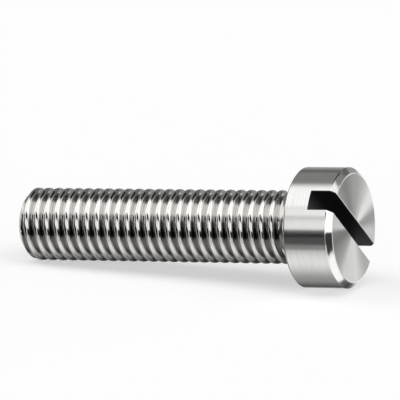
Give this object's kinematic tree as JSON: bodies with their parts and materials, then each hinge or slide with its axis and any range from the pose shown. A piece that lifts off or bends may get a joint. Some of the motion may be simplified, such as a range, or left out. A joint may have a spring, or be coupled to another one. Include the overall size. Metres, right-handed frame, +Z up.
{
  "type": "machine screw",
  "caption": "Slotted cheese head machine screw in bright stainless steel, threaded along its whole shank, lying at rest on its side.",
  "frame": {"origin": "middle of the bounding box in X and Y, on the floor that the screw rests on", "axes": "+X towards the head, +Z up; the screw's axis lies in the XZ plane and rises towards the head by the rest tilt"},
  "size_m": [0.048, 0.016, 0.0164],
  "materials": {
    "steel": "bright turned stainless steel with fine turning marks"
  },
  "bodies": {
    "root": {"screw": "steel"}
  },
  "joints": []
}
